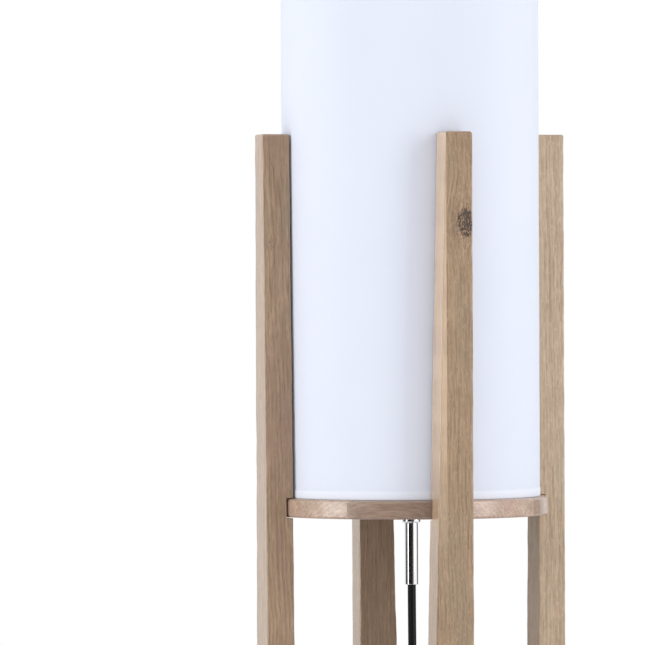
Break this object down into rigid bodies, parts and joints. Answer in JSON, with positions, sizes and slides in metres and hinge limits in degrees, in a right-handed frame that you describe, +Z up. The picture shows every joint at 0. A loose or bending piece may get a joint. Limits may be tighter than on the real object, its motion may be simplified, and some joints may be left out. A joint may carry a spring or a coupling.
{
  "type": "floor lamp",
  "caption": "Floor lamp: oak legs notched round an oak disc that carries a tall white cylinder shade, with a chrome cord outlet below.",
  "frame": {"origin": "on the floor, below the middle of the disc", "axes": "+Z up; the legs stand on the X and Y axes, and the leg called front is on -Y"},
  "size_m": [0.306, 0.306, 1.18],
  "materials": {
    "oak": "oiled oak, open grain",
    "felt": "pressed felt",
    "dowel_wood": "plain beech",
    "chrome": "polished",
    "steel": "zinc plated",
    "brass": "plain",
    "black_plastic": "fine satin",
    "cord_jacket": "smooth soft plastic",
    "white_plastic": "satin",
    "ceramic": "glazed",
    "opal": "opal satin",
    "board": "white lacquer",
    "shade_cloth": "fine plain weave",
    "shade_liner": "smooth white",
    "wire_brown": "smooth",
    "wire_blue": "smooth"
  },
  "bodies": {
    "stand": {"leg_right": "oak", "foot_pad_right": "felt", "dowel_right": "dowel_wood", "leg_back": "oak", "foot_pad_back": "felt", "dowel_back": "dowel_wood", "leg_left": "oak", "foot_pad_left": "felt", "dowel_left": "dowel_wood", "leg_front": "oak", "foot_pad_front": "felt", "dowel_front": "dowel_wood", "disc": "oak", "threaded_pipe": "steel", "under_nut": "chrome", "top_washer": "steel", "top_nut": "steel", "outlet_tube": "chrome", "cord_bush": "black_plastic", "live_wire": "wire_brown", "neutral_wire": "wire_blue", "lampholder_cap": "black_plastic", "lampholder_shell": "black_plastic", "contact_block": "ceramic", "terminal_screw_1": "brass", "terminal_screw_2": "brass", "socket_shell": "brass", "centre_contact": "brass", "cord_drop": "cord_jacket", "cord_lead": "cord_jacket", "cord_coil": "cord_jacket", "cord_tail": "cord_jacket", "switch_base": "black_plastic", "switch_cover": "black_plastic", "switch_contacts": "ceramic", "switch_screw_1": "steel", "switch_screw_2": "steel", "plug_body": "black_plastic", "plug_pin_1": "steel", "plug_pin_2": "steel", "plug_sleeve": "black_plastic"},
    "shade": {"shade_cloth": "shade_cloth", "shade_liner": "shade_liner", "shade_bottom_wire": "white_plastic", "shade_top_wire": "white_plastic"},
    "bulb": {"bulb_contact": "steel", "bulb_insulator": "black_plastic", "bulb_screw_cap": "steel", "bulb_body": "white_plastic", "led_board": "board", "bulb_dome": "opal"},
    "switch_button": {"switch_button": "black_plastic"}
  },
  "joints": [
    {"name": "shade_lift", "type": "slide", "parent": "stand", "child": "shade", "axis": [0, 0, 1], "range_m": [0, 0.355]},
    {"name": "bulb_unscrew", "type": "slide", "parent": "stand", "child": "bulb", "axis": [0, 0, 1], "range_m": [0, 0.026]},
    {"name": "switch_press", "type": "slide", "parent": "stand", "child": "switch_button", "axis": [0, 0, -1], "range_m": [0, 0.003], "stiffness_N_per_m": 900, "springref_m": -0.001}
  ]
}
